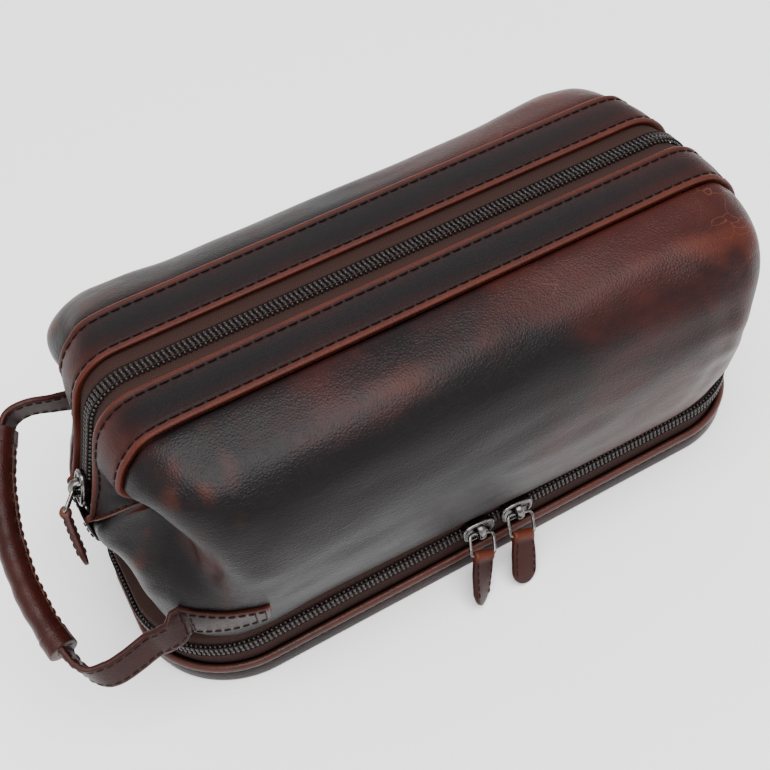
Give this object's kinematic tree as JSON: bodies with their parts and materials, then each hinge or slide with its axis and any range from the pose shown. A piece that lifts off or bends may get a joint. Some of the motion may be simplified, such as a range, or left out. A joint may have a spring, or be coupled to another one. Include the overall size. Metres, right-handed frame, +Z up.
{
  "type": "shaving kit bag",
  "caption": "Framed leather wash bag with a zip mouth, a zip-round bottom compartment and an end carrying handle.",
  "frame": {"origin": "centre of the tray's flat sole, where the bag stands", "axes": "+X along the bag away from the handle, -Y to the front with the two lower sliders, +Z up"},
  "size_m": [0.2869, 0.1297, 0.1196],
  "materials": {
    "panel_leather": "waxed pull-up leather, near black with oxblood burnish",
    "band_leather": "smooth dark leather with turned red-brown edges",
    "edge_leather": "red-brown rolled edge leather",
    "strap_leather": "red-brown handle leather with edge stitching",
    "zip_tape": "brown herringbone zip tape",
    "zip_coil": "black moulded coil, slight gloss",
    "zip_metal": "antique gunmetal",
    "frame_steel": "plated spring steel",
    "board": "stiffener board",
    "lining_cloth": "dark brown woven lining",
    "core": "twisted paper cord filler"
  },
  "bodies": {
    "tray": {"tray_shell": "panel_leather", "tray_rim": "edge_leather", "tray_board": "board", "tray_lining": "lining_cloth", "lower_tape_tray": "zip_tape", "lower_coil_tray": "zip_coil", "back_hinge_tray": "panel_leather"},
    "bag": {"lower_coil_bag": "zip_coil", "lower_tape_bag": "zip_tape", "back_hinge_bag": "panel_leather", "front_panel": "panel_leather", "back_panel": "panel_leather", "left_end_panel": "panel_leather", "right_end_panel": "panel_leather", "main_lining": "lining_cloth", "floor_board": "board", "floor_lining": "lining_cloth", "left_gusset": "panel_leather", "right_gusset": "panel_leather", "left_end_strip": "band_leather", "right_end_strip": "band_leather", "left_pivot_pin": "zip_metal", "left_pivot_bracket": "frame_steel", "right_pivot_pin": "zip_metal", "right_pivot_bracket": "frame_steel", "handle_front_patch": "strap_leather", "handle_back_patch": "strap_leather"},
    "front_jaw": {"front_band": "band_leather", "front_top_tape": "zip_tape", "front_top_coil": "zip_coil", "front_frame": "frame_steel"},
    "back_jaw": {"back_band": "band_leather", "back_top_tape": "zip_tape", "back_top_coil": "zip_coil", "back_frame": "frame_steel"},
    "left_slider": {"left_slider": "zip_metal"},
    "left_slider_bail": {"left_slider_bail": "zip_metal"},
    "left_slider_pull": {"left_slider_pull": "strap_leather"},
    "right_slider": {"right_slider": "zip_metal"},
    "right_slider_bail": {"right_slider_bail": "zip_metal"},
    "right_slider_pull": {"right_slider_pull": "strap_leather"},
    "top_slider": {"top_slider": "zip_metal"},
    "top_slider_bail": {"top_slider_bail": "zip_metal"},
    "top_slider_pull": {"top_slider_pull": "strap_leather"},
    "handle": {"handle_front_strap": "strap_leather", "handle_back_strap": "strap_leather", "handle_grip": "strap_leather", "handle_core": "core"}
  },
  "joints": [
    {"name": "lower_opening", "type": "hinge", "parent": "tray", "child": "bag", "pos_m": [0, 0.04775, 0.0205], "axis": [-1, 0, 0], "range_deg": [0, 90]},
    {"name": "front_jaw_swing", "type": "hinge", "parent": "bag", "child": "front_jaw", "pos_m": [0, 0, 0.069], "axis": [1, 0, 0], "range_deg": [0, 26]},
    {"name": "back_jaw_swing", "type": "hinge", "parent": "bag", "child": "back_jaw", "pos_m": [0, 0, 0.069], "axis": [-1, 0, 0], "range_deg": [0, 26]},
    {"name": "left_slider_travel", "type": "slide", "parent": "tray", "child": "left_slider", "axis": [1, 0, 0], "range_m": [-0.07, 0]},
    {"name": "left_bail_swing", "type": "hinge", "parent": "left_slider", "child": "left_slider_bail", "pos_m": [-0.0053, -0.0498, 0.0205], "axis": [0.866, 0, -0.5], "range_deg": [-60, 0]},
    {"name": "left_pull_swing", "type": "hinge", "parent": "left_slider_bail", "child": "left_slider_pull", "pos_m": [-0.00813, -0.05546, 0.0156], "axis": [0.866, 0, -0.5], "range_deg": [-40, 0]},
    {"name": "right_slider_travel", "type": "slide", "parent": "tray", "child": "right_slider", "axis": [1, 0, 0], "range_m": [0, 0.07]},
    {"name": "right_bail_swing", "type": "hinge", "parent": "right_slider", "child": "right_slider_bail", "pos_m": [0.011, -0.0498, 0.0205], "axis": [0.9135, 0, -0.4067], "range_deg": [-60, 0]},
    {"name": "right_pull_swing", "type": "hinge", "parent": "right_slider_bail", "child": "right_slider_pull", "pos_m": [0.0087, -0.05546, 0.01533], "axis": [0.9135, 0, -0.4067], "range_deg": [-40, 0]},
    {"name": "top_slider_travel", "type": "slide", "parent": "bag", "child": "top_slider", "axis": [0.3223, 0, 0.9466], "range_m": [0, 0.022]},
    {"name": "top_bail_swing", "type": "hinge", "parent": "top_slider", "child": "top_slider_bail", "pos_m": [-0.12559, 0, 0.08035], "axis": [0, -0.9511, 0.309], "range_deg": [-4, 0]},
    {"name": "top_pull_swing", "type": "hinge", "parent": "top_slider_bail", "child": "top_slider_pull", "pos_m": [-0.13125, -0.00175, 0.07497], "axis": [0, -0.9511, 0.309], "range_deg": [-5, 0]},
    {"name": "handle_swing", "type": "hinge", "parent": "bag", "child": "handle", "pos_m": [-0.114, 0, 0.06], "axis": [0, 0.9407, 0.3393], "range_deg": [-20, 12]}
  ]
}
